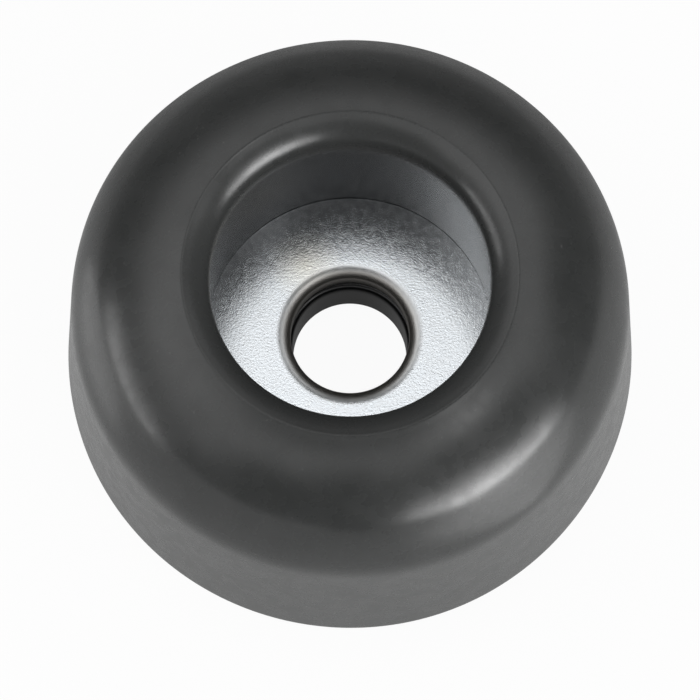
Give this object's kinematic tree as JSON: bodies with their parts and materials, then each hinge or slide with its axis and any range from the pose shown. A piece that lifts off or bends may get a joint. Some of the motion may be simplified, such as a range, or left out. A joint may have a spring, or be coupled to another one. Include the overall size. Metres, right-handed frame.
{
  "type": "rubber foot",
  "caption": "Round rubber foot with a domed tread, a deep screw recess and a moulded-in steel washer.",
  "frame": {"origin": "centre of the flat mounting face", "axes": "+Z along the screw axis from the mounting face towards the domed tread; round about +Z"},
  "size_m": [0.038, 0.038, 0.0194],
  "materials": {
    "rubber": "satin moulded",
    "zinc_steel": "bright zinc, lightly tumbled"
  },
  "bodies": {
    "root": {"rubber_body": "rubber", "steel_washer": "zinc_steel"}
  },
  "joints": []
}
